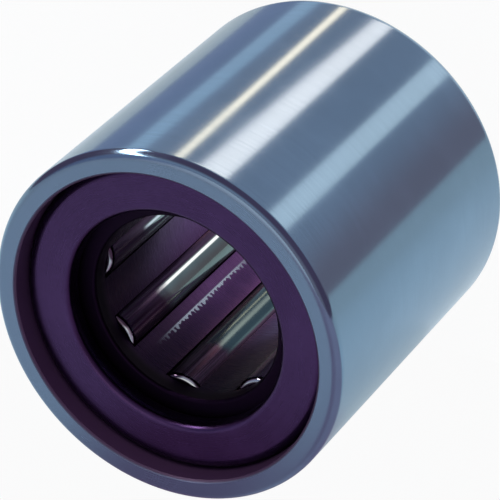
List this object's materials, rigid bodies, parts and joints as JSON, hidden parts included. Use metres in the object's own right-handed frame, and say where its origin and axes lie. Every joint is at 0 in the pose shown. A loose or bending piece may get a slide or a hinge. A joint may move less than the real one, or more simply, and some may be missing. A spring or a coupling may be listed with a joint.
{
  "type": "needle roller bearing",
  "caption": "Caged needle roller bearing with a machined outer ring, recessed side plates and needles that bear directly on the shaft.",
  "frame": {"origin": "middle of the bearing: on its axis, halfway between the end faces", "axes": "+Z along the bearing axis, up, towards the front end; the bearing stands on its back end and the ends are alike"},
  "size_m": [0.012, 0.012, 0.012],
  "materials": {
    "ring_steel": "ground bearing steel, fine circumferential grinding marks",
    "plate_steel": "dark oxidised pressed steel, satin",
    "cage_steel": "dark turned steel, fine tool marks round the bore",
    "needle_steel": "superfinished bearing steel, near mirror"
  },
  "bodies": {
    "ring_assembly": {"outer_ring": "ring_steel", "side_plate_front": "plate_steel", "side_plate_back": "plate_steel"},
    "cage": {"cage": "cage_steel"},
    "needle_1": {"needle_1": "needle_steel"},
    "needle_2": {"needle_2": "needle_steel"},
    "needle_3": {"needle_3": "needle_steel"},
    "needle_4": {"needle_4": "needle_steel"},
    "needle_5": {"needle_5": "needle_steel"},
    "needle_6": {"needle_6": "needle_steel"},
    "needle_7": {"needle_7": "needle_steel"},
    "needle_8": {"needle_8": "needle_steel"}
  },
  "joints": [
    {"name": "cage_spin", "type": "hinge", "parent": "ring_assembly", "child": "cage", "pos_m": [0, 0, 0], "axis": [0, 0, 1], "continuous": true},
    {"name": "needle_1_spin", "type": "hinge", "parent": "cage", "child": "needle_1", "pos_m": [0.004, 0, 0], "axis": [0, 0, 1], "continuous": true},
    {"name": "needle_2_spin", "type": "hinge", "parent": "cage", "child": "needle_2", "pos_m": [0.00283, 0.00283, 0], "axis": [0, 0, 1], "continuous": true},
    {"name": "needle_3_spin", "type": "hinge", "parent": "cage", "child": "needle_3", "pos_m": [0, 0.004, 0], "axis": [0, 0, 1], "continuous": true},
    {"name": "needle_4_spin", "type": "hinge", "parent": "cage", "child": "needle_4", "pos_m": [-0.00283, 0.00283, 0], "axis": [0, 0, 1], "continuous": true},
    {"name": "needle_5_spin", "type": "hinge", "parent": "cage", "child": "needle_5", "pos_m": [-0.004, 0, 0], "axis": [0, 0, 1], "continuous": true},
    {"name": "needle_6_spin", "type": "hinge", "parent": "cage", "child": "needle_6", "pos_m": [-0.00283, -0.00283, 0], "axis": [0, 0, 1], "continuous": true},
    {"name": "needle_7_spin", "type": "hinge", "parent": "cage", "child": "needle_7", "pos_m": [0, -0.004, 0], "axis": [0, 0, 1], "continuous": true},
    {"name": "needle_8_spin", "type": "hinge", "parent": "cage", "child": "needle_8", "pos_m": [0.00283, -0.00283, 0], "axis": [0, 0, 1], "continuous": true}
  ],
  "couplings": [
    {"joint": "needle_1_spin", "follows": "cage_spin", "ratio": -5},
    {"joint": "needle_2_spin", "follows": "cage_spin", "ratio": -5},
    {"joint": "needle_3_spin", "follows": "cage_spin", "ratio": -5},
    {"joint": "needle_4_spin", "follows": "cage_spin", "ratio": -5},
    {"joint": "needle_5_spin", "follows": "cage_spin", "ratio": -5},
    {"joint": "needle_6_spin", "follows": "cage_spin", "ratio": -5},
    {"joint": "needle_7_spin", "follows": "cage_spin", "ratio": -5},
    {"joint": "needle_8_spin", "follows": "cage_spin", "ratio": -5}
  ]
}
